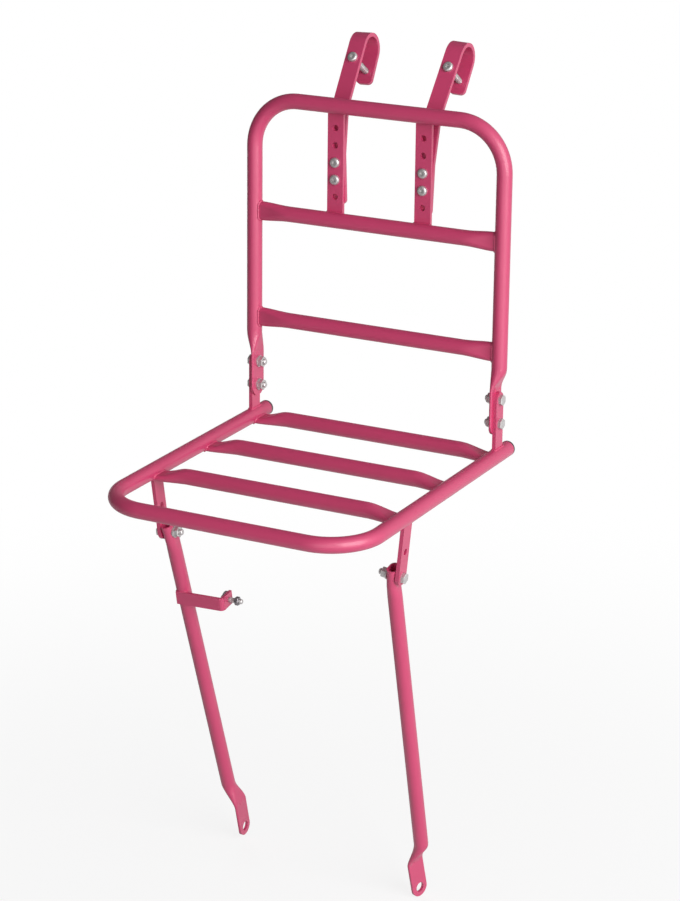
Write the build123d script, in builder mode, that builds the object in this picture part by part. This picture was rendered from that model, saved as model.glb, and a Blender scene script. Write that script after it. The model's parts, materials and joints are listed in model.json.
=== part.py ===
"""Bicycle front carrier: a tubular platform and back frame that hang from two handlebar hooks.

Millimetres, +Z up, -Y to the front of the bicycle, +X to the right as seen from the front.
The origin is the middle of the load platform, level with the tops of its tubes.
"""

import os
from math import cos, pi, radians, sin, sqrt, tan

from build123d import *

# Tube and flat bar stock
frame_tube_diameter = 16.0
leg_tube_diameter = 15.0
tube_wall = 1.5
bend_radius = 50.0
bar_width = 18.0
bar_thickness = 4.0

# Load platform
platform_width = 284.0
platform_length = 304.0
bar_pitch = 100.0
side_tube_overhang = 23.5
plug_flange = 3.5
plug_spigot = 12.0

# Back frame, measured along its lean from the middle of the platform tubes
back_lean = 2.0
top_tube_height = 338.6
upper_cross_height = 220.7
lower_cross_height = 107.8
foot_round_height = 92.0
foot_flat_height = 68.0
foot_end_height = 22.0

# Flattened ends of the cross tubes and platform bars, pressed from round in even steps
flare_length = 34.0
cross_flare_thickness = 9.0
bar_flare_thickness = 6.0
bar_flare_drop = 4.0
press_steps = 6

# Bolted joint between back frame and platform
tab_width = 16.0
upper_joint_height = 59.0
joint_pitch = 25.0

# Hook uprights and their row of holes
hook_spacing = 100.0
upright_hole_pitch = 17.7
upright_hole_count = 5
upright_end_inset = 3.0

# Hook straps, drawn along the strap from its lower end
strap_splay = 2.2
strap_tail = 35.0
strap_seat = 51.2
strap_first_bend = 10.0
strap_rise = 43.0
strap_second_bend = 24.1
strap_shank = 69.5
strap_bend_radius = 12.0
hook_inner_radius = 13.5
hook_mouth_flare = 4.1
hook_rear_leg = 32.0
clamp_screw_drop = 17.3
strap_corner_radius = 5.0

# Legs and the tabs they hang from
leg_tab_setback = 196.0
leg_tab_tilt = 6.5
leg_pivot_drop = 65.0
leg_spare_hole_rise = 27.5
left_leg_rake = 16.42
right_leg_rake = 12.65
leg_kink = 5.43
leg_top_thickness = 11.0
leg_top_reach = 9.0
leg_top_flat = 11.0
leg_top_taper = 16.0
leg_straight = 303.0
leg_lower_taper = 28.0
leg_joggle = 9.6
leg_eyelet_tilt = 3.0
leg_eyelet_reach = 31.8
right_eyelet_turn = 14.0
axle_hole_diameter = 10.5
eyelet_radius = 10.3

# Lamp bracket on the left leg
lamp_bracket_drop = 52.0
lamp_bracket_tilt = 8.0
lamp_bar_height = 14.0
lamp_bar_thickness = 3.0
lamp_bar_saddle = 1.0
lamp_bar_tail = 5.0
lamp_bar_reach = 49.5
lamp_flange = 20.0
lamp_bend_radius = 1.5
lamp_hole_offset = 13.0
lamp_bolt_length = 20.0
lamp_washer_diameter = 17.0
lamp_washer_thickness = 1.5
lamp_nut_standoff = 8.0

# Fasteners
m6_diameter = 6.0
m6_across_flats = 10.0
m6_head_height = 4.0
m6_nut_height = 5.0
m6_washer_diameter = 12.0
m6_washer_thickness = 1.6
m6_hole_diameter = 6.4
m5_diameter = 5.0
m5_across_flats = 8.0
m5_head_height = 3.5
m5_nut_height = 4.0
m5_hole_diameter = 5.4
button_diameter = 10.5
button_height = 3.3
button_dome = 2.0
socket_across_flats = 4.0
socket_depth = 2.0
joint_bolt_length = 16.0
pivot_bolt_length = 25.0
strap_screw_length = 16.0
clamp_screw_length = 45.0
tip_chamfer = 0.6
edge_chamfer = 0.5

# Small clearances
weld_gap = 0.05
thread_gap = 0.05
spigot_gap = 0.1
pivot_radial_gap = 0.06
pivot_side_gap = 0.05
crush_seam = 0.3
vent_diameter = 4.0
drain_diameter = 3.0

# Worked out from the values above
tube_radius = frame_tube_diameter / 2
leg_radius = leg_tube_diameter / 2
crush_thickness = 2 * tube_wall
tube_z = -tube_radius
side_x = platform_width / 2
rear_y = platform_length / 2
front_y = -platform_length / 2
side_end_y = rear_y + side_tube_overhang
leg_y = rear_y - leg_tab_setback
upright_middle = (top_tube_height + upper_cross_height) / 2
strap_middle = upright_middle - upright_hole_pitch / 2
upright_front = tube_radius - bar_thickness
sides = (("left", -1), ("right", 1))

# The back frame's plane: X across, Y up the lean, Z towards the front
lean_y = sin(radians(back_lean))
lean_z = cos(radians(back_lean))
back_plane = Plane(origin=(0, rear_y, tube_z), x_dir=(1, 0, 0), z_dir=(0, -lean_z, lean_y))


def pressed_width(diameter, thickness):
    """Width of a tube pressed to a thickness, with its outline as long as before."""
    return thickness + pi * (diameter - thickness) / 2


def round_section(plane, radius):
    """A tube's round section in four arcs, to match the four edges of a flattened one."""
    with BuildSketch(plane) as section:
        with BuildLine():
            for start_angle in (-45, 45, 135, 225):
                CenterArc((0, 0), radius, start_angle, 90)
        make_face()
    return section.sketch


def flat_section(plane, width, thickness):
    """A flattened tube's section, long along the plane's X, with half-round edges."""
    run = (width - thickness) / 2
    edge = thickness / 2
    with BuildSketch(plane) as section:
        with BuildLine():
            CenterArc((run, 0), edge, -90, 180)
            Line((run, edge), (-run, edge))
            CenterArc((-run, 0), edge, 90, 180)
            Line((-run, -edge), (run, -edge))
        make_face()
    return section.sketch


def press(start, end, diameter, thickness, bore_thickness):
    """Outer and inner sections of a tube that passes smoothly from round to flat between two planes."""
    reach = end.origin - start.origin
    along = start.z_dir * reach.dot(start.z_dir)
    aside = reach - along
    bore = diameter - 2 * tube_wall
    outer = [round_section(start, diameter / 2)]
    inner = [round_section(start, bore / 2)]
    for step in range(1, press_steps + 1):
        share = step / press_steps
        ease = share**2 * (3 - 2 * share)
        plane = Plane(
            origin=start.origin + along * share + aside * ease,
            x_dir=start.x_dir * (1 - ease) + end.x_dir * ease,
            z_dir=start.z_dir * (1 - ease) + end.z_dir * ease,
        )
        outer_thickness = diameter + (thickness - diameter) * ease
        outer_width = pressed_width(diameter, outer_thickness)
        inner_thickness = bore + (bore_thickness - bore) * ease
        outer.append(flat_section(plane, outer_width, outer_thickness))
        inner.append(flat_section(plane, outer_width - 2 * tube_wall, inner_thickness))
    return outer, inner


def end_trim(plane, width):
    """What is cut from a flat end to make it half round about the plane's origin, towards its Y."""
    with BuildSketch(plane) as trim:
        with Locations((0, width / 2)):
            Rectangle(2 * width, width)
        Circle(width / 2, mode=Mode.SUBTRACT)
    return trim.sketch


def eyelet_outline(plane, width, radius, reach):
    """A flat end that narrows from its full width to a round eye about the plane's origin."""
    with BuildSketch(plane) as outline:
        Circle(radius)
        with Locations((0, -reach)):
            Rectangle(width, radius)
        make_hull()
    return outline.sketch


def corner_trim(plane, width, corner):
    """What is cut from a flat end on the plane's X axis to round its two corners."""
    with BuildSketch(plane) as trim:
        Rectangle(2 * width, 2 * corner)
        with Locations((0, -width)):
            RectangleRounded(width, 2 * width, corner, mode=Mode.SUBTRACT)
    return trim.sketch


def disc(plane, radius):
    """A round sketch about a plane's origin."""
    with BuildSketch(plane) as round_face:
        Circle(radius)
    return round_face.sketch


def save(builder, label):
    """Names a finished piece and writes it."""
    builder.part.label = label
    export_step(builder.part, f"parts/{label}.step")


def upright_plane(x, height, z_dir):
    """A plane on the back frame's tube centre, at a place across and up the lean."""
    return Plane(origin=back_plane.from_local_coords((x, height, 0)), x_dir=back_plane.z_dir, z_dir=z_dir)


def cylinder_along(origin, direction, radius, length):
    """A cylinder about an axis, centred on the origin, for coping one tube to another."""
    with BuildPart(Plane(origin=origin, z_dir=direction)) as rod:
        Cylinder(radius, length)
    return rod.part


os.makedirs("parts", exist_ok=True)

side_rods = []
upright_rods = []
for _, sign in sides:
    cope_radius = tube_radius + weld_gap
    side_rods.append(cylinder_along((sign * side_x, 0, tube_z), (0, 1, 0), cope_radius, 2 * platform_length))
    upright_foot = back_plane.from_local_coords((sign * side_x, 0, 0))
    upright_rods.append(cylinder_along(upright_foot, back_plane.y_dir, cope_radius, 4 * top_tube_height))

# Platform tube: one tube bent round the front, open at both rear ends
with BuildPart() as platform_tube:
    with BuildLine(Plane.XY.offset(tube_z)) as platform_path:
        FilletPolyline(
            (-side_x, side_end_y),
            (-side_x, front_y),
            (side_x, front_y),
            (side_x, side_end_y),
            radius=bend_radius,
        )
    with BuildSketch(Plane(origin=platform_path.line @ 0, z_dir=platform_path.line % 0)):
        Circle(tube_radius)
        Circle(tube_radius - tube_wall, mode=Mode.SUBTRACT)
    sweep(path=platform_path.line)
save(platform_tube, "platform_tube")

# Plugs in the platform tube's open ends
for side, sign in sides:
    with BuildPart() as end_plug:
        end_plane = Plane(origin=(sign * side_x, side_end_y, tube_z), z_dir=(0, 1, 0))
        extrude(disc(end_plane, tube_radius), amount=plug_flange)
        fillet(end_plug.edges().sort_by(Axis.Y)[-1], radius=plug_flange / 2)
        extrude(disc(end_plane, tube_radius - tube_wall - spigot_gap), amount=-plug_spigot)
    save(end_plug, f"platform_end_plug_{side}")


def flared_tube(frame, reach, thickness, drop, rods):
    """A tube along the frame's X with both ends flattened and coped to the tubes it meets."""
    flare_start = reach - tube_radius - flare_length
    middle = Plane(origin=frame.origin, x_dir=frame.y_dir, z_dir=frame.x_dir)
    ends = []
    for outward in (-frame.x_dir, frame.x_dir):
        neck = Plane(origin=frame.origin + outward * flare_start, x_dir=frame.y_dir, z_dir=outward)
        mouth_origin = neck.origin + outward * flare_length - frame.z_dir * drop
        mouth = Plane(origin=mouth_origin, x_dir=frame.y_dir, z_dir=outward)
        ends.append(press(neck, mouth, frame_tube_diameter, thickness, thickness - 2 * tube_wall))
    with BuildPart() as tube:
        extrude(round_section(middle, tube_radius), amount=flare_start, both=True)
        for outer, _ in ends:
            loft(outer)
            extrude(outer[-1], amount=tube_radius)
        bore = round_section(middle, tube_radius - tube_wall)
        extrude(bore, amount=flare_start, both=True, mode=Mode.SUBTRACT)
        for _, inner in ends:
            loft(inner, mode=Mode.SUBTRACT)
            extrude(inner[-1], amount=tube_radius, mode=Mode.SUBTRACT)
        add(rods, mode=Mode.SUBTRACT)
    return tube


# Platform bars, from the front to the rear
bar_names = ("platform_bar_front", "platform_bar_middle", "platform_bar_rear")
for bars_ahead, bar_name in zip((2, 1, 0), bar_names):
    bar_frame = Plane(origin=(0, rear_y - bars_ahead * bar_pitch, tube_z))
    save(flared_tube(bar_frame, side_x, bar_flare_thickness, bar_flare_drop, side_rods), bar_name)

# Cross tubes of the back frame
for cross_name, cross_height in (
    ("back_cross_tube_lower", lower_cross_height),
    ("back_cross_tube_upper", upper_cross_height),
):
    cross_frame = Plane(
        origin=back_plane.from_local_coords((0, cross_height, 0)),
        x_dir=back_plane.x_dir,
        z_dir=back_plane.z_dir,
    )
    save(flared_tube(cross_frame, side_x, cross_flare_thickness, 0, upright_rods), cross_name)

# Back frame tube: two uprights and the top, with both feet pressed flat against the rear tabs
foot_width = pressed_width(frame_tube_diameter, crush_thickness)
foot_x = side_x - bar_thickness / 2 - crush_thickness / 2
joint_heights = (upper_joint_height, upper_joint_height - joint_pitch)
with BuildPart() as back_frame_tube:
    with BuildLine(back_plane) as back_path:
        FilletPolyline(
            (-side_x, foot_round_height),
            (-side_x, top_tube_height),
            (side_x, top_tube_height),
            (side_x, foot_round_height),
            radius=bend_radius,
        )
    with BuildSketch(Plane(origin=back_path.line @ 0, z_dir=back_path.line % 0)):
        Circle(tube_radius)
        Circle(tube_radius - tube_wall, mode=Mode.SUBTRACT)
    sweep(path=back_path.line)
    for _, sign in sides:
        neck = upright_plane(sign * side_x, foot_round_height, -back_plane.y_dir)
        flat = upright_plane(sign * foot_x, foot_flat_height, -back_plane.y_dir)
        outer, inner = press(neck, flat, frame_tube_diameter, crush_thickness, crush_seam)
        loft(outer)
        extrude(outer[-1], amount=foot_flat_height - foot_end_height)
        loft(inner, mode=Mode.SUBTRACT)
        foot_centre = back_plane.from_local_coords((sign * foot_x, foot_end_height + foot_width / 2, 0))
        foot_plane = Plane(origin=foot_centre, x_dir=back_plane.z_dir, z_dir=(1, 0, 0))
        extrude(end_trim(foot_plane, foot_width), amount=crush_thickness, both=True, mode=Mode.SUBTRACT)
        for height in joint_heights:
            hole = upright_plane(sign * foot_x, height, (1, 0, 0))
            extrude(disc(hole, m6_hole_diameter / 2), amount=crush_thickness, both=True, mode=Mode.SUBTRACT)
        vent = upright_plane(sign * side_x, upper_cross_height, (-sign, 0, 0))
        extrude(disc(vent, vent_diameter / 2), amount=2 * tube_radius, mode=Mode.SUBTRACT)
save(back_frame_tube, "back_frame_tube")

# Hook uprights: flat bars flush with the back of the tubes, with a row of holes
cross_rods = []
for cross_height in (top_tube_height, upper_cross_height):
    cross_middle = back_plane.from_local_coords((0, cross_height, 0))
    cross_rods.append(cylinder_along(cross_middle, (1, 0, 0), tube_radius + weld_gap, platform_width))
upright_length = top_tube_height - upper_cross_height - 2 * upright_end_inset
for side, sign in sides:
    bar_back = back_plane.from_local_coords((sign * hook_spacing / 2, upright_middle, -tube_radius))
    with BuildPart() as hook_upright:
        with BuildSketch(Plane(origin=bar_back, x_dir=back_plane.x_dir, z_dir=back_plane.z_dir)):
            Rectangle(bar_width, upright_length)
            with GridLocations(0, upright_hole_pitch, 1, upright_hole_count):
                Circle(m6_hole_diameter / 2, mode=Mode.SUBTRACT)
        extrude(amount=bar_thickness)
        add(cross_rods, mode=Mode.SUBTRACT)
    save(hook_upright, f"hook_upright_{side}")


def hex_bolt(diameter, across_flats, head_height, length):
    """A hexagon bolt, its head standing on the XY plane and its shank below."""
    with BuildPart() as bolt:
        with BuildSketch():
            RegularPolygon(across_flats / 2, 6, major_radius=False)
        extrude(amount=head_height)
        chamfer(bolt.faces().sort_by(Axis.Z)[-1].edges(), length=edge_chamfer)
        extrude(disc(Plane.XY, diameter / 2), amount=-length)
        chamfer(bolt.faces().sort_by(Axis.Z)[0].edges(), length=tip_chamfer)
    return bolt


def button_screw(diameter, length):
    """A domed socket screw, its head standing on the XY plane and its shank below."""
    with BuildPart() as screw:
        extrude(disc(Plane.XY, button_diameter / 2), amount=button_height)
        fillet(screw.faces().sort_by(Axis.Z)[-1].edges(), radius=button_dome)
        with BuildSketch(Plane.XY.offset(button_height)):
            RegularPolygon(socket_across_flats / 2, 6, major_radius=False)
        extrude(amount=-socket_depth, mode=Mode.SUBTRACT)
        extrude(disc(Plane.XY, diameter / 2), amount=-length)
        chamfer(screw.faces().sort_by(Axis.Z)[0].edges(), length=tip_chamfer)
    return screw


def hex_nut(diameter, across_flats, height):
    """A hexagon nut standing on the XY plane."""
    with BuildPart() as nut:
        with BuildSketch():
            RegularPolygon(across_flats / 2, 6, major_radius=False)
        extrude(amount=height)
        chamfer(nut.faces().sort_by(Axis.Z)[-1].edges(), length=edge_chamfer)
        Cylinder(diameter / 2 + thread_gap, 3 * height, mode=Mode.SUBTRACT)
    return nut


def washer(hole_diameter, diameter, thickness):
    """A plain washer lying on the XY plane."""
    with BuildPart() as ring:
        with BuildSketch():
            Circle(diameter / 2)
            Circle(hole_diameter / 2, mode=Mode.SUBTRACT)
        extrude(amount=thickness)
    return ring


def place(piece, seats, label):
    """Writes copies of a fastener as one node, one copy standing on each seat plane."""
    with BuildPart() as group:
        with Locations(*[seat.location for seat in seats]):
            add(piece.part)
    save(group, label)


m6_nut = hex_nut(m6_diameter, m6_across_flats, m6_nut_height)
m6_washer = washer(m6_hole_diameter, m6_washer_diameter, m6_washer_thickness)

# Hook straps, splayed a little about the middle of their two screws
hook_radius = hook_inner_radius + bar_thickness / 2
strap_screw = button_screw(m6_diameter, strap_screw_length)
clamp_screw = button_screw(m6_diameter, clamp_screw_length)
for side, sign in sides:
    splay = radians(strap_splay)
    hook_x = sign * hook_spacing / 2
    rear_dir = -back_plane.z_dir
    up_dir = back_plane.y_dir * cos(splay) + back_plane.x_dir * (sign * sin(splay))
    across_dir = rear_dir.cross(up_dir)
    seat_point = back_plane.from_local_coords((hook_x, strap_middle, -tube_radius))
    strap_plane = Plane(origin=seat_point, x_dir=rear_dir, z_dir=across_dir)
    middle_line = bar_thickness / 2
    screw_heights = (upright_middle, upright_middle - upright_hole_pitch)
    with BuildPart() as hook_strap:
        with BuildLine(strap_plane) as strap_path:
            seat = Line((middle_line, -strap_tail), (middle_line, strap_seat - strap_tail))
            first_bend = JernArc(seat @ 1, seat % 1, strap_bend_radius, -strap_first_bend)
            rise = PolarLine(first_bend @ 1, strap_rise, direction=first_bend % 1)
            second_bend = JernArc(rise @ 1, rise % 1, strap_bend_radius, -strap_second_bend)
            shank = PolarLine(second_bend @ 1, strap_shank, direction=second_bend % 1)
            hook_top = JernArc(shank @ 1, shank % 1, hook_radius, hook_mouth_flare - 180)
            rear_leg = PolarLine(hook_top @ 1, hook_rear_leg, direction=hook_top % 1)
        with BuildSketch(Plane(origin=seat @ 0, x_dir=across_dir, z_dir=seat % 0)):
            Rectangle(bar_width, bar_thickness)
        sweep(path=strap_path.line)
        tail_plane = Plane(origin=seat @ 0, x_dir=across_dir, z_dir=rear_dir)
        tip_plane = Plane(origin=rear_leg @ 1, x_dir=across_dir, z_dir=across_dir.cross(rear_leg % 1))
        for end_plane in (tail_plane, tip_plane):
            corners = corner_trim(end_plane, bar_width, strap_corner_radius)
            extrude(corners, amount=bar_thickness, both=True, mode=Mode.SUBTRACT)
        for height in screw_heights:
            strap_hole = back_plane.from_local_coords((hook_x, height, -tube_radius))
            hole_face = disc(Plane(origin=strap_hole, z_dir=rear_dir), m6_hole_diameter / 2)
            extrude(hole_face, amount=2 * bar_thickness, mode=Mode.SUBTRACT)
        clamp_dir = (shank % 1).cross(across_dir)
        clamp_point = (shank @ 1) - (shank % 1) * clamp_screw_drop
        clamp_face = disc(Plane(origin=clamp_point, z_dir=clamp_dir), m6_hole_diameter / 2)
        extrude(clamp_face, amount=clamp_screw_length, both=True, mode=Mode.SUBTRACT)
    save(hook_strap, f"hook_strap_{side}")

    # Two screws hold the strap to its upright, with their heads to the front
    screw_seats = []
    nut_seats = []
    for height in screw_heights:
        head_point = back_plane.from_local_coords((hook_x, height, -upright_front))
        nut_point = back_plane.from_local_coords((hook_x, height, -tube_radius - bar_thickness))
        screw_seats.append(Plane(origin=head_point, z_dir=-rear_dir))
        nut_seats.append(Plane(origin=nut_point, z_dir=rear_dir))
    place(strap_screw, screw_seats, f"hook_strap_screws_{side}")
    place(m6_nut, nut_seats, f"hook_strap_nuts_{side}")

    # One long screw closes the hook under the handlebar, square to the shank
    flare = radians(hook_mouth_flare)
    rear_leg_gap = (hook_radius + clamp_screw_drop * sin(flare) + bar_thickness / 2) / cos(flare)
    nut_corner_gap = m6_across_flats / sqrt(3) * tan(flare)
    clamp_head = Plane(origin=clamp_point - clamp_dir * (bar_thickness / 2), z_dir=-clamp_dir)
    clamp_nut_reach = hook_radius + rear_leg_gap + nut_corner_gap
    clamp_nut_seat = Plane(origin=clamp_point + clamp_dir * clamp_nut_reach, z_dir=clamp_dir)
    place(clamp_screw, [clamp_head], f"hook_clamp_screw_{side}")
    place(m6_nut, [clamp_nut_seat], f"hook_clamp_nut_{side}")

# Rear tabs stand on the side tubes, and the back frame's feet are bolted to their inner faces
joint_bolt = hex_bolt(m6_diameter, m6_across_flats, m6_head_height, joint_bolt_length)
for side, sign in sides:
    tab_foot = back_plane.from_local_coords((sign * side_x, 0, 0))
    with BuildPart() as rear_tab:
        with BuildSketch(Plane(origin=tab_foot, x_dir=back_plane.y_dir, z_dir=(1, 0, 0))):
            with Locations((upper_joint_height / 2, 0)):
                Rectangle(upper_joint_height, tab_width)
            with Locations((upper_joint_height, 0)):
                Circle(tab_width / 2)
            with Locations(*[(height, 0) for height in joint_heights]):
                Circle(m6_hole_diameter / 2, mode=Mode.SUBTRACT)
        extrude(amount=bar_thickness / 2, both=True)
        add(side_rods, mode=Mode.SUBTRACT)
    save(rear_tab, f"rear_tab_{side}")

    bolt_seats = []
    washer_seats = []
    nut_seats = []
    foot_inside = side_x - bar_thickness / 2 - crush_thickness
    for height in joint_heights:
        head_point = back_plane.from_local_coords((sign * (side_x + bar_thickness / 2), height, 0))
        washer_point = back_plane.from_local_coords((sign * foot_inside, height, 0))
        nut_point = back_plane.from_local_coords((sign * (foot_inside - m6_washer_thickness), height, 0))
        bolt_seats.append(Plane(origin=head_point, x_dir=back_plane.y_dir, z_dir=(sign, 0, 0)))
        washer_seats.append(Plane(origin=washer_point, x_dir=back_plane.y_dir, z_dir=(-sign, 0, 0)))
        nut_seats.append(Plane(origin=nut_point, x_dir=back_plane.y_dir, z_dir=(-sign, 0, 0)))
    place(joint_bolt, bolt_seats, f"joint_bolts_{side}")
    place(m6_washer, washer_seats, f"joint_washers_{side}")
    place(m6_nut, nut_seats, f"joint_nuts_{side}")

# Legs and the tabs that they hang from
rear_way = Vector(0, 1, 0)
tilt = radians(leg_tab_tilt)
kink = radians(leg_kink)
eyelet_tilt = radians(leg_eyelet_tilt)
leg_flat_width = pressed_width(leg_tube_diameter, crush_thickness)
pivot_bolt = hex_bolt(m6_diameter, m6_across_flats, m6_head_height, pivot_bolt_length)
leg_rakes = {"left": left_leg_rake, "right": right_leg_rake}
eyelet_turns = {"left": 0, "right": right_eyelet_turn}
for side, sign in sides:
    tab_root = Vector(sign * side_x, leg_y, tube_z)
    tab_down = Vector(-sign * sin(tilt), 0, -cos(tilt))
    outward = Vector(sign * cos(tilt), 0, -sin(tilt))
    with BuildPart() as leg_tab:
        with BuildSketch(Plane(origin=tab_root, x_dir=tab_down, z_dir=outward)):
            with Locations((leg_pivot_drop / 2, 0)):
                Rectangle(leg_pivot_drop, tab_width)
            with Locations((leg_pivot_drop, 0)):
                Circle(tab_width / 2)
            with Locations((leg_pivot_drop, 0), (leg_pivot_drop - leg_spare_hole_rise, 0)):
                Circle(m6_hole_diameter / 2, mode=Mode.SUBTRACT)
        extrude(amount=bar_thickness / 2, both=True)
        add(side_rods, mode=Mode.SUBTRACT)
    save(leg_tab, f"leg_tab_{side}")

    # Directions of the leg at its rake: down its top, across it, down its kinked tube and down its eyelet
    rake = radians(leg_rakes[side])
    flat_down = tab_down * cos(rake) + rear_way * sin(rake)
    across = rear_way * cos(rake) - tab_down * sin(rake)
    tube_down = flat_down * cos(kink) + outward * sin(kink)
    tube_out = outward * cos(kink) - flat_down * sin(kink)
    eyelet_down = tube_down * cos(eyelet_tilt) + tube_out * sin(eyelet_tilt)
    turn = radians(eyelet_turns[side])
    eyelet_across = across * cos(turn) + tube_out * sin(turn)

    # Stations along the leg
    tab_pivot = tab_root + tab_down * leg_pivot_drop
    leg_inset = bar_thickness / 2 + pivot_side_gap + leg_top_thickness / 2
    pivot = tab_pivot - outward * leg_inset
    top_flat = Plane(origin=pivot + flat_down * leg_top_flat, x_dir=across, z_dir=flat_down)
    top_neck = Plane(origin=top_flat.origin + tube_down * leg_top_taper, x_dir=across, z_dir=tube_down)
    low_neck = Plane(origin=top_neck.origin + tube_down * leg_straight, x_dir=across, z_dir=tube_down)
    low_flat_origin = low_neck.origin + tube_down * leg_lower_taper - tube_out * leg_joggle
    low_flat = Plane(origin=low_flat_origin, x_dir=eyelet_across, z_dir=eyelet_down)
    eyelet = low_flat_origin + eyelet_down * leg_eyelet_reach
    pivot_plane = Plane(origin=pivot, x_dir=across, z_dir=outward)
    eyelet_end = Plane(origin=eyelet, x_dir=eyelet_across, z_dir=eyelet_across.cross(eyelet_down))
    top_bore = leg_top_thickness - 2 * tube_wall
    top_outer, top_inner = press(top_neck, top_flat, leg_tube_diameter, leg_top_thickness, top_bore)
    low_outer, low_inner = press(low_neck, low_flat, leg_tube_diameter, crush_thickness, crush_seam)
    with BuildPart() as leg:
        extrude(low_outer[-1], amount=leg_eyelet_reach + leg_flat_width)
        eye = eyelet_outline(eyelet_end, leg_flat_width, eyelet_radius, leg_eyelet_reach)
        extrude(eye, amount=crush_thickness, both=True, mode=Mode.INTERSECT)
        extrude(top_outer[-1], amount=-(leg_top_flat + leg_top_reach))
        loft(top_outer)
        extrude(top_outer[0], amount=leg_straight)
        loft(low_outer)
        extrude(top_inner[-1], amount=-(leg_top_flat + leg_top_reach), mode=Mode.SUBTRACT)
        loft(top_inner, mode=Mode.SUBTRACT)
        extrude(top_inner[0], amount=leg_straight, mode=Mode.SUBTRACT)
        loft(low_inner, mode=Mode.SUBTRACT)
        pivot_hole = disc(pivot_plane, m6_diameter / 2 + pivot_radial_gap)
        extrude(pivot_hole, amount=leg_tube_diameter, both=True, mode=Mode.SUBTRACT)
        axle_hole = disc(eyelet_end, axle_hole_diameter / 2)
        extrude(axle_hole, amount=crush_thickness, both=True, mode=Mode.SUBTRACT)
        drain = Plane(origin=low_neck.origin - tube_down * leg_tube_diameter, z_dir=across)
        extrude(disc(drain, drain_diameter / 2), amount=leg_tube_diameter, mode=Mode.SUBTRACT)
    save(leg, f"leg_{side}")

    # The bolt that the leg turns on, with its head outside and its nut inside
    head_point = tab_pivot + outward * (bar_thickness / 2)
    washer_point = pivot - outward * (leg_top_thickness / 2 + pivot_side_gap)
    nut_point = washer_point - outward * m6_washer_thickness
    place(pivot_bolt, [Plane(origin=head_point, z_dir=outward)], f"leg_pivot_bolt_{side}")
    place(m6_washer, [Plane(origin=washer_point, z_dir=-outward)], f"leg_pivot_washer_{side}")
    place(m6_nut, [Plane(origin=nut_point, z_dir=-outward)], f"leg_pivot_nut_{side}")

    if side == "left":
        lamp_root = top_neck.origin + tube_down * lamp_bracket_drop
        lamp_tilt = radians(lamp_bracket_tilt)
        lamp_up = across * sin(lamp_tilt) - tube_down * cos(lamp_tilt)
        lamp_plane = Plane(origin=lamp_root, x_dir=-tube_out, z_dir=lamp_up)
        lamp_rod = cylinder_along(lamp_root, tube_down, leg_radius + weld_gap, leg_tube_diameter * 2)

# Lamp bracket: a flat bar across the front of the left leg, bent back into a flange
lamp_middle = lamp_bar_saddle - leg_radius - lamp_bar_thickness / 2
lamp_front = lamp_middle - lamp_bar_thickness / 2
lamp_flange_middle = lamp_bar_reach - lamp_bar_thickness / 2
lamp_hole_y = lamp_front + lamp_hole_offset
with BuildPart() as lamp_bracket:
    with BuildLine(lamp_plane) as lamp_path:
        FilletPolyline(
            (-lamp_bar_tail, lamp_middle),
            (lamp_flange_middle, lamp_middle),
            (lamp_flange_middle, lamp_front + lamp_flange),
            radius=lamp_bend_radius + lamp_bar_thickness / 2,
        )
    with BuildSketch(Plane(origin=lamp_path.line @ 0, x_dir=lamp_plane.z_dir, z_dir=lamp_path.line % 0)):
        Rectangle(lamp_bar_height, lamp_bar_thickness)
    sweep(path=lamp_path.line)
    lamp_hole = lamp_plane.from_local_coords((lamp_flange_middle, lamp_hole_y, 0))
    lamp_hole_face = disc(Plane(origin=lamp_hole, z_dir=lamp_plane.x_dir), m5_hole_diameter / 2)
    extrude(lamp_hole_face, amount=lamp_bar_thickness, both=True, mode=Mode.SUBTRACT)
    add(lamp_rod, mode=Mode.SUBTRACT)
save(lamp_bracket, "lamp_bracket")

# The lamp's bolt, with a wide washer under its head and its nut run out to leave room for the lamp
lamp_bolt = hex_bolt(m5_diameter, m5_across_flats, m5_head_height, lamp_bolt_length)
lamp_nut = hex_nut(m5_diameter, m5_across_flats, m5_nut_height)
lamp_washer = washer(m5_hole_diameter, lamp_washer_diameter, lamp_washer_thickness)
inner_face = lamp_bar_reach - lamp_bar_thickness
lamp_washer_point = lamp_plane.from_local_coords((inner_face, lamp_hole_y, 0))
lamp_head_point = lamp_plane.from_local_coords((inner_face - lamp_washer_thickness, lamp_hole_y, 0))
lamp_nut_point = lamp_plane.from_local_coords((lamp_bar_reach + lamp_nut_standoff, lamp_hole_y, 0))
place(lamp_washer, [Plane(origin=lamp_washer_point, z_dir=-lamp_plane.x_dir)], "lamp_washer")
place(lamp_bolt, [Plane(origin=lamp_head_point, z_dir=-lamp_plane.x_dir)], "lamp_bolt")
place(lamp_nut, [Plane(origin=lamp_nut_point, z_dir=lamp_plane.x_dir)], "lamp_nut")
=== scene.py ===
"""Looks of a bicycle front carrier: paint, plated fasteners, weld beads, threads and a studio."""

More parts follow.
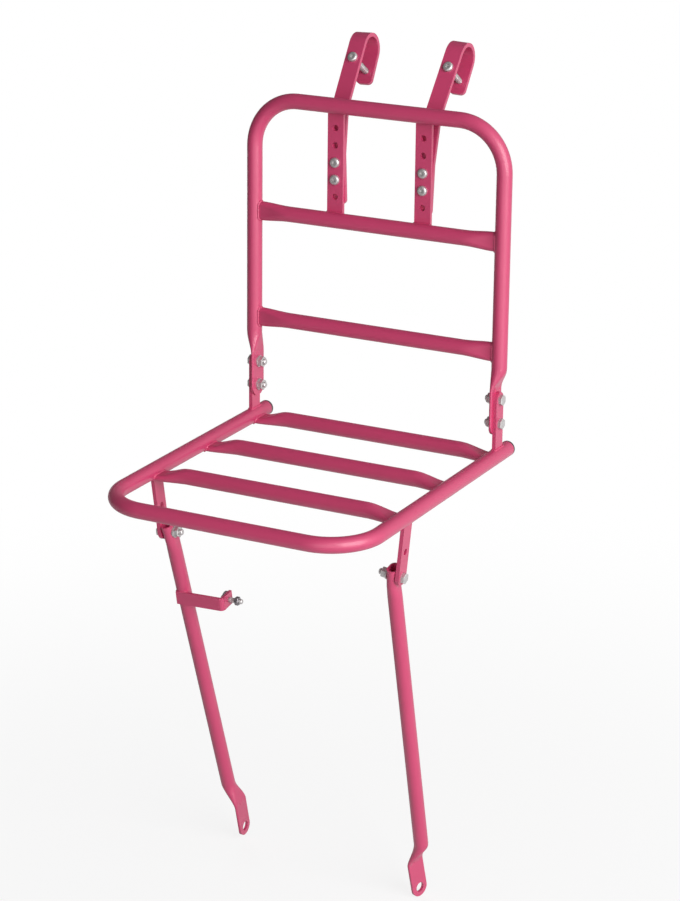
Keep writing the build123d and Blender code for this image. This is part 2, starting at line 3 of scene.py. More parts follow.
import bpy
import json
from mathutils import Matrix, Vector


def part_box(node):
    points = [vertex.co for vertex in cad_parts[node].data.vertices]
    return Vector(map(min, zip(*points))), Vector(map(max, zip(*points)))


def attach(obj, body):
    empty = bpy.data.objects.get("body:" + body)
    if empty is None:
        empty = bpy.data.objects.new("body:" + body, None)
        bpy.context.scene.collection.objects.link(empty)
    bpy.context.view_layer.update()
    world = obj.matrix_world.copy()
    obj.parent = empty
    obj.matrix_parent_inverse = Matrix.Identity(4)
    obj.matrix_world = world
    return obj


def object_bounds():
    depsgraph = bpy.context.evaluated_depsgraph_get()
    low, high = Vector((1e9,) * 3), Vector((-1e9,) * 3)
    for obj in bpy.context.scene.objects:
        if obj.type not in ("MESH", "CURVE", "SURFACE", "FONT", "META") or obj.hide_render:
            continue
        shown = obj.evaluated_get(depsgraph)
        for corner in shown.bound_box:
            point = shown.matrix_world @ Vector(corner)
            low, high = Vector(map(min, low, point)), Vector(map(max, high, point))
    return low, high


bl_info = {
    "name": "Bicycle Front Carrier",
    "version": (1, 0, 0),
    "blender": (4, 5, 0),
    "location": "3D View > Sidebar > Carrier",
    "description": "Finishes a tubular bicycle front carrier and sets it in a pale studio",
    "category": "Object",
}

import json
from math import atan2, cos, pi, radians, sin, sqrt

import bmesh
import bpy
import numpy as np
from bpy.props import FloatProperty, FloatVectorProperty, IntProperty, PointerProperty
from mathutils import Matrix, Vector
from mathutils.bvhtree import BVHTree

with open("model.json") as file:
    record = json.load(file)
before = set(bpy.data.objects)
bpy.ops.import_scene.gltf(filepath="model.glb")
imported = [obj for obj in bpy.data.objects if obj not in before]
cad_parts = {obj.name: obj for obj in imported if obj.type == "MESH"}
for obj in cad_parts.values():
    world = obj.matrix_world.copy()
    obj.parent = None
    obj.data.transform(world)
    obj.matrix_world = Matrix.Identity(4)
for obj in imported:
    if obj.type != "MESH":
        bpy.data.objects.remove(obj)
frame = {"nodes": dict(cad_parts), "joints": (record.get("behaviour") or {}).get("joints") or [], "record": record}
CAD_LOW, CAD_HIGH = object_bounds()
CARRIER = "carrier"
LEFT_LEG = "leg_left_body"

# Places read from the frame
PLATFORM_LOW, PLATFORM_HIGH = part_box("platform_tube")
TUBE_RADIUS = (PLATFORM_HIGH.z - PLATFORM_LOW.z) / 2
TUBE_Z = PLATFORM_HIGH.z - TUBE_RADIUS
SIDE_X = PLATFORM_HIGH.x - TUBE_RADIUS
SIDES = {"left": -1, "right": 1}


def middle(node):
    """The middle of a node's box."""
    low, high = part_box(node)
    return (low + high) / 2


LOWER_CROSS = middle("back_cross_tube_lower")
UPPER_CROSS = middle("back_cross_tube_upper")
ACROSS = Vector((1, 0, 0))
BACKWARD = Vector((0, 1, 0))
UPWARD = Vector((0, 0, 1))
UP_LEAN = (UPPER_CROSS - LOWER_CROSS).normalized()
FRONT_LEAN = ACROSS.cross(UP_LEAN)
TOP_RISE = (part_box("back_frame_tube")[1].z - TUBE_RADIUS - UPPER_CROSS.z) / UP_LEAN.z

# Powder coat
CLOUD_DETAIL = 3.0
PEEL_STRENGTH = 0.5
GLOSS_SPREAD = 0.12
PAINT_SPECULAR = 0.85
COAT_LEAST = 0.25
COAT_SPREAD = 0.25
COAT_ROUGHNESS = 0.22

# Zinc plate
BRIGHT_ROUGHNESS = 0.26
DARK_ROUGHNESS = 0.34
PATCH_SIZE = 0.004
PATCH_DETAIL = 4.0
PATCH_ROUGHNESS = 0.14
PLATE_METALLIC = 0.9
PATCH_METALLIC_LOSS = 0.4
SCRATCH_SIZE = 0.0005
SCRATCH_STRENGTH = 0.25
SCRATCH_DEPTH = 0.00004

# Plug plastic
SPARK_SIZE = 0.0006
SPARK_STRENGTH = 0.4
SPARK_DEPTH = 0.00006
PLASTIC_ROUGHNESS = 0.48
SPARK_ROUGHNESS = 0.12

# Detail of the fine grains, and how much lighter the dark finishes are in places
GRAIN_DETAIL = 3.0
PALER = 2

# Weld beads: facets round one, and the share of a flat bar's thickness that its end's bead takes
BEAD_FACETS = 10
BAR_END_SHARE = 0.94

# Lamp bracket's seat: the widest gap to the leg, its fewest corners, and their digits
SEAT_GAP = 0.0003
SEAT_CORNERS = 4
SEAT_DIGITS = 6

# Threads: radius and pitch of the two sizes of screw, the bare tip and the facets of a crest
M6 = (0.003, 0.001)
M5 = (0.0025, 0.0008)
TIP_CHAMFER = 0.0006
CREST_FACETS = 4

# Screws whose threads show: the node, its size and the thread's length from the tip
THREADS = (
    ("joint_bolts_left", M6, 0.0022),
    ("joint_bolts_right", M6, 0.0022),
    ("hook_strap_screws_left", M6, 0.0028),
    ("hook_strap_screws_right", M6, 0.0028),
    ("hook_clamp_screw_left", M6, 0.044),
    ("hook_clamp_screw_right", M6, 0.044),
    ("leg_pivot_bolt_left", M6, 0.0030),
    ("leg_pivot_bolt_right", M6, 0.0030),
    ("lamp_bolt", M5, 0.0150),
)

# Nearness at which mesh points are one, and at which they lie on a screw's end
SAME_POINT = 1e-6
END_SLICE = 1e-4

# Floor: its reach, where it fades to white, its least white, and its speckle and bounced light
FLOOR_REACH = 14.0
FLOOR_FADE = (0.3, 1.3)
FLOOR_WHITE = 0.80
SPECKLE_SIZE = 0.02
SPECKLE_SHADE = 0.98
BOUNCE_SHADE = 0.35

# Reflections pass from dark on the left to white on the right
FLOOR_SIDE = (-0.6, 0.3)
WORLD_SIDE = (-0.5, 0.7)
DARK_SIDE = 0.02

# Lamps: places from the carrier's middle, and widths
KEY_PLACE = Vector((3.2, -1.45, 1.25))
KEY_WIDTH = 3.0
FRONT_PLACE = Vector((0.5, -2.3, 0.4))
FRONT_WIDTH = 1.4
BACK_PLACE = Vector((-1.9, 2.6, 0.2))
BACK_WIDTH = 2.5

# Camera's farthest view
VIEW_REACH = 100.0

# Colour of the background
WHITE = (1, 1, 1, 1)

# Sockets of a Mix node that mixes colours
MIX_FACTOR, MIX_FIRST, MIX_SECOND, MIX_RESULT = 0, 6, 7, 2


class FinishSettings(bpy.types.PropertyGroup):
    """Colours and surface sizes of the carrier's finishes."""

    paint: FloatVectorProperty(
        name="Paint",
        description="Colour of the powder coat",
        subtype="COLOR",
        default=(0.60, 0.041, 0.145),
        min=0,
        max=1,
    )
    paint_deep: FloatVectorProperty(
        name="Thick Paint",
        description="Colour of the powder coat where it lies thicker",
        subtype="COLOR",
        default=(0.53, 0.033, 0.124),
        min=0,
        max=1,
    )
    paint_roughness: FloatProperty(
        name="Paint Roughness",
        description="Roughness of the powder coat",
        default=0.50,
        min=0,
        max=1,
    )
    peel_size: FloatProperty(
        name="Peel Size",
        description="Width of one dimple of the coat's orange peel",
        default=0.0016,
        unit="LENGTH",
    )
    peel_depth: FloatProperty(
        name="Peel Depth",
        description="Depth of the coat's orange peel",
        default=0.00005,
        unit="LENGTH",
    )
    cloud_size: FloatProperty(
        name="Cloud Size",
        description="Width of the patches of thicker paint",
        default=0.06,
        unit="LENGTH",
    )
    zinc: FloatVectorProperty(
        name="Zinc",
        description="Colour of bright zinc plate",
        subtype="COLOR",
        default=(0.70, 0.67, 0.67),
    )
    zinc_dull: FloatVectorProperty(
        name="Dull Zinc",
        description="Colour of handled zinc plate",
        subtype="COLOR",
        default=(0.40, 0.38, 0.38),
    )
    dark_zinc: FloatVectorProperty(
        name="Dark Zinc",
        description="Colour of the lamp's fasteners",
        subtype="COLOR",
        default=(0.15, 0.14, 0.15),
    )
    plastic: FloatVectorProperty(
        name="Plug Plastic",
        description="Colour of the end plugs",
        subtype="COLOR",
        default=(0.022, 0.018, 0.020),
    )


class WeldSettings(bpy.types.PropertyGroup):
    """Sizes of the weld beads and of the flattened ends that they follow."""

    bead_radius: FloatProperty(
        name="Bead Radius",
        description="Half the width of a weld bead",
        default=0.0011,
        unit="LENGTH",
    )
    ripple_pitch: FloatProperty(
        name="Ripple Pitch",
        description="Distance between a bead's ripples",
        default=0.0016,
        unit="LENGTH",
    )
    ripple_depth: FloatProperty(
        name="Ripple Depth",
        description="Share of the radius that a ripple takes",
        default=0.16,
        min=0,
        max=1,
    )
    bead_step: FloatProperty(
        name="Bead Step",
        description="Length of one facet along a bead",
        default=0.0004,
        unit="LENGTH",
    )
    cross_flare: FloatProperty(
        name="Cross Tube Flare",
        description="Thickness of a cross tube's end",
        default=0.009,
        unit="LENGTH",
    )
    bar_flare: FloatProperty(
        name="Bar Flare",
        description="Thickness of a platform bar's end",
        default=0.006,
        unit="LENGTH",
    )
    bar_drop: FloatProperty(
        name="Bar Drop",
        description="How far a platform bar's end is pressed down",
        default=0.004,
        unit="LENGTH",
    )
    bar_thickness: FloatProperty(
        name="Bar Thickness",
        description="Thickness of the flat bars and tabs",
        default=0.004,
        unit="LENGTH",
    )


class ThreadSettings(bpy.types.PropertyGroup):
    """Sizes of the screw threads."""

    depth: FloatProperty(
        name="Thread Depth",
        description="Height of a thread's crest",
        default=0.00016,
        unit="LENGTH",
    )
    facets: IntProperty(
        name="Facets",
        description="Facets in one turn of a thread",
        default=24,
        min=8,
    )


class StudioSettings(bpy.types.PropertyGroup):
    """The camera, the lamps and the floor."""

    azimuth: FloatProperty(
        name="Azimuth",
        description="Camera's turn about the carrier",
        default=radians(28.83),
        unit="ROTATION",
    )
    elevation: FloatProperty(
        name="Elevation",
        description="Camera's height angle",
        default=radians(19.32),
        unit="ROTATION",
    )
    roll: FloatProperty(
        name="Roll",
        description="Camera's roll",
        default=radians(-0.38),
        unit="ROTATION",
    )
    distance: FloatProperty(
        name="Distance",
        description="From the camera to its target",
        default=2.8256,
        unit="LENGTH",
    )
    target: FloatVectorProperty(
        name="Target",
        description="Point at the middle of the picture",
        default=(0.04435, 0.00041, 0.02850),
        subtype="TRANSLATION",
    )
    lens: FloatProperty(
        name="Lens",
        description="Focal length in millimetres",
        default=115.21,
        unit="CAMERA",
    )
    ambient: FloatProperty(
        name="Ambient",
        description="Light from all round",
        default=0.15,
        min=0,
    )
    key_power: FloatProperty(
        name="Key",
        description="Power of the lamp at the right",
        default=168.0,
        unit="POWER",
    )
    front_power: FloatProperty(
        name="Front",
        description="Power of the lamp at the front",
        default=8.0,
        unit="POWER",
    )
    back_power: FloatProperty(
        name="Back",
        description="Power of the lamp behind",
        default=76.0,
        unit="POWER",
    )
    floor: FloatVectorProperty(
        name="Floor",
        description="Colour of the floor",
        subtype="COLOR",
        default=(0.90, 0.90, 0.90),
    )


class CarrierSettings(bpy.types.PropertyGroup):
    """All settings of the carrier."""

    finish: PointerProperty(type=FinishSettings)
    weld: PointerProperty(type=WeldSettings)
    thread: PointerProperty(type=ThreadSettings)
    studio: PointerProperty(type=StudioSettings)


class Value:
    """A socket that gives a number. Arithmetic on it adds Math nodes to its tree."""

    def __init__(self, socket):
        self.socket = socket

    def math(self, operation, first, second=0.0):
        node = self.socket.id_data.nodes.new("ShaderNodeMath")
        node.operation = operation
        feed(node.inputs[0], first)
        feed(node.inputs[1], second)
        return Value(node.outputs[0])

    def __add__(self, other):
        return self.math("ADD", self, other)

    def __sub__(self, other):
        return self.math("SUBTRACT", self, other)

    def __rsub__(self, other):
        return self.math("SUBTRACT", other, self)

    def __mul__(self, other):
        return self.math("MULTIPLY", self, other)

    def __truediv__(self, other):
        return self.math("DIVIDE", self, other)

    __radd__ = __add__
    __rmul__ = __mul__


def feed(socket, term):
    """Links a value to a socket, or writes a plain one into it."""
    if isinstance(term, Value):
        socket.id_data.links.new(term.socket, socket)
    else:
        socket.default_value = term


class Tree:
    """A node tree under construction."""

    def __init__(self, tree):
        self.tree = tree
        tree.nodes.clear()

    def add(self, kind, settings=None, inputs=None, output=0):
        """Adds a node with its settings and its sockets' values or links, and gives one output."""
        node = self.tree.nodes.new(kind)
        for name, setting in (settings or {}).items():
            setattr(node, name, setting)
        for name, term in (inputs or {}).items():
            feed(node.inputs[name], term)
        return Value(node.outputs[output]) if len(node.outputs) else node


def colour(rgb):
    """A colour with full alpha."""
    return (*rgb, 1.0)


def scaled(rgb, share):
    """A colour made darker or lighter."""
    return [share * part for part in rgb]


def surface(name):
    """A new material, its tree and its place in object coordinates."""
    material = bpy.data.materials.new(name)
    material.use_nodes = True
    tree = Tree(material.node_tree)
    place = tree.add("ShaderNodeTexCoord", output="Object")
    return material, tree, place


def noise(tree, place, size, detail=2.0):
    """Noise with features of about that size, from 0 to 1."""
    inputs = {"Vector": place, "Scale": 1 / size, "Detail": detail}
    return tree.add("ShaderNodeTexNoise", inputs=inputs)


def bumps(tree, height, strength, depth):
    """A normal that follows a height."""
    inputs = {"Height": height, "Strength": strength, "Distance": depth}
    return tree.add("ShaderNodeBump", inputs=inputs)


def mix_colour(tree, factor, first, second):
    """A colour between two others."""
    node = tree.tree.nodes.new("ShaderNodeMix")
    node.data_type = "RGBA"
    feed(node.inputs[MIX_FACTOR], factor)
    feed(node.inputs[MIX_FIRST], first)
    feed(node.inputs[MIX_SECOND], second)
    return Value(node.outputs[MIX_RESULT])


def finish_surface(tree, inputs):
    """Ends a material's tree in one shader with the given sockets."""
    shader = tree.add("ShaderNodeBsdfPrincipled", inputs=inputs)
    tree.add("ShaderNodeOutputMaterial", inputs={"Surface": shader})


def powder_coat(finish):
    """Glossy powder coat with orange peel and patches of thicker paint."""
    material, tree, place = surface("raspberry_powder_coat")
    peel = noise(tree, place, finish.peel_size)
    cloud = noise(tree, place, finish.cloud_size, detail=CLOUD_DETAIL)
    paint = mix_colour(tree, cloud, colour(finish.paint), colour(finish.paint_deep))
    finish_surface(
        tree,
        {
            "Base Color": paint,
            "Roughness": finish.paint_roughness - GLOSS_SPREAD / 2 + GLOSS_SPREAD * cloud,
            "Specular IOR Level": PAINT_SPECULAR,
            "Coat Weight": COAT_LEAST + COAT_SPREAD * peel,
            "Coat Roughness": COAT_ROUGHNESS,
            "Normal": bumps(tree, peel, PEEL_STRENGTH, finish.peel_depth),
        },
    )
    return material


def zinc_plate(name, bright, dull, roughness):
    """Zinc plate with fine scratches and dull handled patches."""
    material, tree, place = surface(name)
    patch = noise(tree, place, PATCH_SIZE, detail=PATCH_DETAIL)
    scratch = noise(tree, place, SCRATCH_SIZE, detail=GRAIN_DETAIL)
    finish_surface(
        tree,
        {
            "Base Color": mix_colour(tree, patch, colour(bright), colour(dull)),
            "Metallic": PLATE_METALLIC - PATCH_METALLIC_LOSS * patch,
            "Roughness": roughness + PATCH_ROUGHNESS * patch,
            "Normal": bumps(tree, scratch, SCRATCH_STRENGTH, SCRATCH_DEPTH),
        },
    )
    return material


def plug_plastic(finish):
    """Moulded plastic with a fine spark grain."""
    material, tree, place = surface("moulded_plug_plastic")
    spark = noise(tree, place, SPARK_SIZE, detail=GRAIN_DETAIL)
    paler = scaled(finish.plastic, PALER)
    finish_surface(
        tree,
        {
            "Base Color": mix_colour(tree, spark, colour(finish.plastic), colour(paler)),
            "Roughness": PLASTIC_ROUGHNESS + SPARK_ROUGHNESS * spark,
            "Normal": bumps(tree, spark, SPARK_STRENGTH, SPARK_DEPTH),
        },
    )
    return material


def nodes_in(slot):
    """The names of the nodes that the record gives that material slot."""
    return [part["node"] for part in frame["record"]["subparts"] if part["material_slot"] == slot]


def dress(nodes, material):
    """Gives CAD nodes one material."""
    for name in nodes:
        mesh = frame["nodes"][name].data
        mesh.materials.clear()
        mesh.materials.append(material)


def set_input(modifier, name, value):
    """Sets a geometry tree's named input on its modifier."""
    for item in modifier.node_group.interface.items_tree:
        if item.item_type == "SOCKET" and item.in_out == "INPUT" and item.name == name:
            modifier[item.identifier] = value


def geometry_tree(name, sockets):
    """A new geometry tree with named inputs, and those inputs as values."""
    group = bpy.data.node_groups.new(name, "GeometryNodeTree")
    group.interface.new_socket("Geometry", in_out="INPUT", socket_type="NodeSocketGeometry")
    for socket_name, kind in sockets.items():
        group.interface.new_socket(socket_name, in_out="INPUT", socket_type=kind)
    group.interface.new_socket("Geometry", in_out="OUTPUT", socket_type="NodeSocketGeometry")
    tree = Tree(group)
    start = group.nodes.new("NodeGroupInput")
    values = {socket.name: Value(socket) for socket in start.outputs if socket.name}
    return tree, values


def end_geometry(tree, geometry, material):
    """Ends a geometry tree in Realize Instances and Set Material."""
    smooth = tree.add("GeometryNodeSetShadeSmooth", inputs={"Geometry": geometry})
    real = tree.add("GeometryNodeRealizeInstances", inputs={"Geometry": smooth})
    painted = tree.add("GeometryNodeSetMaterial", inputs={"Geometry": real, "Material": material})
    tree.add("NodeGroupOutput", inputs={"Geometry": painted})


def run_tree(name, data, tree, inputs, body):
    """Runs a geometry tree on a curve or mesh and keeps the result as a mesh on a body."""
    source = bpy.data.objects.new(name + "_source", data)
    bpy.context.scene.collection.objects.link(source)
    modifier = source.modifiers.new(name, "NODES")
    modifier.node_group = tree.tree
    for input_name, value in inputs.items():
        set_input(modifier, input_name, value)
    depsgraph = bpy.context.evaluated_depsgraph_get()
    mesh = bpy.data.meshes.new_from_object(source.evaluated_get(depsgraph), depsgraph=depsgraph)
    bpy.data.objects.remove(source)
    if not mesh.polygons:
        raise RuntimeError(f"{name} came out empty")
    piece = bpy.data.objects.new(name, mesh)
    mesh.name = name
    bpy.context.scene.collection.objects.link(piece)
    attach(piece, body)


def path_curve(name, paths):
    """A curve with one closed run of straight steps for each path."""
    curve = bpy.data.curves.new(name, "CURVE")
    curve.dimensions = "3D"
    for path in paths:
        spline = curve.splines.new("POLY")
        spline.points.add(len(path) - 1)
        for point, place in zip(spline.points, path):
            point.co = (*place, 1.0)
        spline.use_cyclic_u = True
    return curve


def stadium(width, thickness, steps=10):
    """Points round a flattened tube's outline, long along the first axis."""
    run = (width - thickness) / 2
    edge = thickness / 2
    outline = []
    for centre, start in ((run, -pi / 2), (-run, pi / 2)):
        for step in range(steps + 1):
            angle = start + pi * step / steps
            outline.append((centre + edge * cos(angle), edge * sin(angle)))
    return outline


def saddle(outline, origin, along, side, reach):
    """Lays an outline on a round tube that runs along its first axis, from the side of reach."""
    path = []
    for u, v in outline:
        depth = sqrt(TUBE_RADIUS**2 - v**2)
        path.append(origin + along * u + side * v + reach * depth)
    return path


def rectangle(width, thickness):
    """Points round a flat bar's outline, long along the first axis."""
    half, edge = width / 2, thickness / 2
    return [(half, -edge), (half, edge), (-half, edge), (-half, -edge)]


def weld_paths(weld):
    """The run of each weld bead on the carrier, laid on the tube that the piece is welded to."""
    paths = []
    for sign in SIDES.values():
        inward = Vector((-sign, 0, 0))
        for bar in ("platform_bar_front", "platform_bar_middle", "platform_bar_rear"):
            low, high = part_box(bar)
            mouth = [(u, v - weld.bar_drop) for u, v in stadium(high.y - low.y, weld.bar_flare)]
            tube = Vector((sign * SIDE_X, middle(bar).y, TUBE_Z))
            paths.append(saddle(mouth, tube, BACKWARD, UPWARD, inward))
        for cross in (LOWER_CROSS, UPPER_CROSS):
            low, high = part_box("back_cross_tube_upper")
            mouth = stadium((high.z - low.z) / UP_LEAN.z, weld.cross_flare)
            tube = cross + Vector((sign * SIDE_X, 0, 0))
            paths.append(saddle(mouth, tube, UP_LEAN, FRONT_LEAN, inward))
    for side, sign in SIDES.items():
        tab = middle(f"rear_tab_{side}")
        low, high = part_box(f"rear_tab_{side}")
        tube = Vector((sign * SIDE_X, tab.y, TUBE_Z))
        foot = rectangle(high.y - low.y, weld.bar_thickness)
        paths.append(saddle(foot, tube, BACKWARD, ACROSS, UPWARD))
        pivot = f"leg_{side}_pivot"
        hinge = Vector(next(joint["axis"] for joint in frame["joints"] if joint["name"] == pivot))
        low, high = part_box(f"leg_tab_{side}")
        tube = Vector((sign * SIDE_X, middle(f"leg_tab_{side}").y, TUBE_Z))
        root = rectangle(high.y - low.y, weld.bar_thickness)
        paths.append(saddle(root, tube, BACKWARD, hinge, hinge.cross(BACKWARD) * -1))
        low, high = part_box(f"hook_upright_{side}")
        x = middle(f"hook_upright_{side}").x
        bar_edge = weld.bar_thickness * BAR_END_SHARE
        set_back = weld.bar_thickness - bar_edge / 2 - TUBE_RADIUS
        bar_end = [(u, v + set_back) for u, v in rectangle(high.x - low.x, bar_edge)]
        for rise, way in ((0.0, UP_LEAN), (TOP_RISE, -UP_LEAN)):
            tube = UPPER_CROSS + UP_LEAN * rise + ACROSS * x
            paths.append(saddle(bar_end, tube, ACROSS, FRONT_LEAN, way))
    return paths


def bracket_weld_path():
    """The run of the weld bead round the lamp bracket's seat on the left leg."""
    leg = frame["nodes"]["leg_left"].data
    leg_points = [vert.co for vert in leg.vertices]
    skin = BVHTree.FromPolygons(leg_points, [face.vertices for face in leg.polygons])
    bracket = frame["nodes"]["lamp_bracket"].data
    corners = {tuple(round(part, SEAT_DIGITS) for part in vert.co) for vert in bracket.vertices}
    seat = [Vector(corner) for corner in corners if skin.find_nearest(Vector(corner), SEAT_GAP)[0]]
    if len(seat) < SEAT_CORNERS:
        raise RuntimeError("the lamp bracket has no seat on the left leg")
    centre = sum(seat, Vector()) / len(seat)
    return sorted(seat, key=lambda corner: atan2(corner.z - centre.z, corner.x - centre.x))


def bead_tree():
    """Geometry nodes that turn a curve into a rippled weld bead."""
    tree, values = geometry_tree(
        "weld_bead",
        {
            "Radius": "NodeSocketFloat",
            "Step": "NodeSocketFloat",
            "Ripple Pitch": "NodeSocketFloat",
            "Ripple Depth": "NodeSocketFloat",
            "Material": "NodeSocketMaterial",
        },
    )
    run = tree.add(
        "GeometryNodeResampleCurve",
        settings={"mode": "LENGTH"},
        inputs={"Curve": values["Geometry"], "Length": values["Step"]},
    )
    along = tree.add("GeometryNodeSplineParameter", output="Length")
    wave = along.math("SINE", along * (2 * pi) / values["Ripple Pitch"])
    radius = values["Radius"] * (1 + wave * values["Ripple Depth"])
    profile = tree.add(
        "GeometryNodeCurvePrimitiveCircle", inputs={"Resolution": BEAD_FACETS, "Radius": 1.0}
    )
    bead = tree.add(
        "GeometryNodeCurveToMesh", inputs={"Curve": run, "Profile Curve": profile, "Scale": radius}
    )
    end_geometry(tree, bead, values["Material"])
    return tree


def thread_tree():
    """Geometry nodes that wind a thread from each point, along the point's own axis."""
    tree, values = geometry_tree(
        "screw_thread",
        {
            "Radius": "NodeSocketFloat",
            "Pitch": "NodeSocketFloat",
            "Length": "NodeSocketFloat",
            "Depth": "NodeSocketFloat",
            "Facets": "NodeSocketInt",
            "Material": "NodeSocketMaterial",
        },
    )
    helix = tree.add(
        "GeometryNodeCurveSpiral",
        inputs={
            "Resolution": values["Facets"],
            "Rotations": values["Length"] / values["Pitch"],
            "Start Radius": values["Radius"],
            "End Radius": values["Radius"],
            "Height": values["Length"],
        },
    )
    crest = tree.add(
        "GeometryNodeCurvePrimitiveCircle",
        inputs={"Resolution": CREST_FACETS, "Radius": values["Depth"]},
    )
    ridge = tree.add(
        "GeometryNodeCurveToMesh",
        inputs={"Curve": helix, "Profile Curve": crest, "Fill Caps": True},
    )
    axis = tree.add(
        "GeometryNodeInputNamedAttribute",
        settings={"data_type": "FLOAT_VECTOR"},
        inputs={"Name": "axis"},
    )
    turn = tree.add(
        "FunctionNodeAlignRotationToVector", settings={"axis": "Z"}, inputs={"Vector": axis}
    )
    screws = tree.add(
        "GeometryNodeInstanceOnPoints",
        inputs={"Points": values["Geometry"], "Instance": ridge, "Rotation": turn},
    )
    end_geometry(tree, screws, values["Material"])
    return tree


def shanks(node):
    """The tip and the direction towards the head of each screw in a node."""
    work = bmesh.new()
    work.from_mesh(frame["nodes"][node].data)
    bmesh.ops.remove_doubles(work, verts=work.verts, dist=SAME_POINT)
    waiting = set(work.verts)
    found = []
    for first in work.verts:
        if first not in waiting:
            continue
        waiting.remove(first)
        group = [first]
        for vert in group:
            for edge in vert.link_edges:
                other = edge.other_vert(vert)
                if other in waiting:
                    waiting.remove(other)
                    group.append(other)
        points = np.array([vert.co for vert in group])
        centre = points.mean(axis=0)
        axis = np.linalg.svd(points - centre)[2][0]
        heights = (points - centre) @ axis
        spread = np.linalg.norm(points - centre - np.outer(heights, axis), axis=1)
        upper_end = spread[heights > heights.max() - END_SLICE].max()
        lower_end = spread[heights < heights.min() + END_SLICE].max()
        if upper_end < lower_end:
            axis, heights = -axis, -heights
        found.append((Vector(centre + axis * heights.min()), Vector(axis)))
    work.free()
    return sorted(found, key=lambda shank: tuple(shank[0]))


class CARRIER_OT_paint_frame(bpy.types.Operator):
    """Powder coats the tubes, bars, tabs, hooks and legs"""

    bl_idname = "carrier.paint_frame"
    bl_label = "Paint the Frame"

    def execute(self, context):
        dress(nodes_in("pink_paint"), powder_coat(context.scene.carrier.finish))
        return {"FINISHED"}


class CARRIER_OT_plate_fasteners(bpy.types.Operator):
    """Zinc plates the screws, nuts and washers"""

    bl_idname = "carrier.plate_fasteners"
    bl_label = "Plate the Fasteners"

    def execute(self, context):
        finish = context.scene.carrier.finish
        bright = zinc_plate("bright_zinc", finish.zinc, finish.zinc_dull, BRIGHT_ROUGHNESS)
        paler = scaled(finish.dark_zinc, PALER)
        dark = zinc_plate("dark_zinc", finish.dark_zinc, paler, DARK_ROUGHNESS)
        dress(nodes_in("zinc_fastener"), bright)
        dress(nodes_in("dark_fastener"), dark)
        return {"FINISHED"}


class CARRIER_OT_mould_plugs(bpy.types.Operator):
    """Gives the end plugs their plastic"""

    bl_idname = "carrier.mould_plugs"
    bl_label = "Mould the Plugs"

    def execute(self, context):
        dress(nodes_in("black_plastic"), plug_plastic(context.scene.carrier.finish))
        return {"FINISHED"}


class CARRIER_OT_lay_welds(bpy.types.Operator):
    """Lays a weld bead round each piece that is welded to a tube"""

    bl_idname = "carrier.lay_welds"
    bl_label = "Lay the Welds"

    def execute(self, context):
        weld = context.scene.carrier.weld
        tree = bead_tree()
        sizes = {
            "Radius": weld.bead_radius,
            "Step": weld.bead_step,
            "Ripple Pitch": weld.ripple_pitch,
            "Ripple Depth": weld.ripple_depth,
            "Material": bpy.data.materials["raspberry_powder_coat"],
        }
        carrier_runs = path_curve("weld_runs", weld_paths(weld))
        bracket_run = path_curve("bracket_weld_run", [bracket_weld_path()])
        run_tree("weld_beads", carrier_runs, tree, sizes, CARRIER)
        run_tree("lamp_bracket_weld", bracket_run, tree, sizes, LEFT_LEG)
        return {"FINISHED"}


class CARRIER_OT_cut_threads(bpy.types.Operator):
    """Winds the threads on the shanks that show"""

    bl_idname = "carrier.cut_threads"
    bl_label = "Cut the Threads"

    def execute(self, context):
        thread = context.scene.carrier.thread
        tree = thread_tree()
        for node, (radius, pitch), length in THREADS:
            starts = shanks(node)
            mesh = bpy.data.meshes.new(node + "_tips")
            mesh.from_pydata([tip + axis * TIP_CHAMFER for tip, axis in starts], [], [])
            attribute = mesh.attributes.new("axis", "FLOAT_VECTOR", "POINT")
            for item, (_, axis) in zip(attribute.data, starts):
                item.vector = axis
            run_tree(
                node + "_thread",
                mesh,
                tree,
                {
                    "Radius": radius,
                    "Pitch": pitch,
                    "Length": length - TIP_CHAMFER,
                    "Depth": thread.depth,
                    "Facets": thread.facets,
                    "Material": bpy.data.materials["bright_zinc"],
                },
                LEFT_LEG if node == "lamp_bolt" else CARRIER,
            )
        return {"FINISHED"}


def ramp(tree, value, low, high, start):
    """Passes smoothly from a start to 1 as a value goes from low to high."""
    return tree.add(
        "ShaderNodeMapRange",
        settings={"interpolation_type": "SMOOTHSTEP"},
        inputs={"Value": value, "From Min": low, "From Max": high, "To Min": start, "To Max": 1.0},
    )


def split_x(tree, vector):
    """The first part of a vector."""
    return tree.add("ShaderNodeSeparateXYZ", inputs={"Vector": vector}, output="X")


def shown_white(tree, mirrored):
    """1 for rays that look straight at the background, and a share of it for mirrored ones."""
    rays = tree.tree.nodes.new("ShaderNodeLightPath").outputs
    straight = Value(rays["Is Camera Ray"]) + Value(rays["Is Transmission Ray"])
    return straight + Value(rays["Is Glossy Ray"]) * mirrored


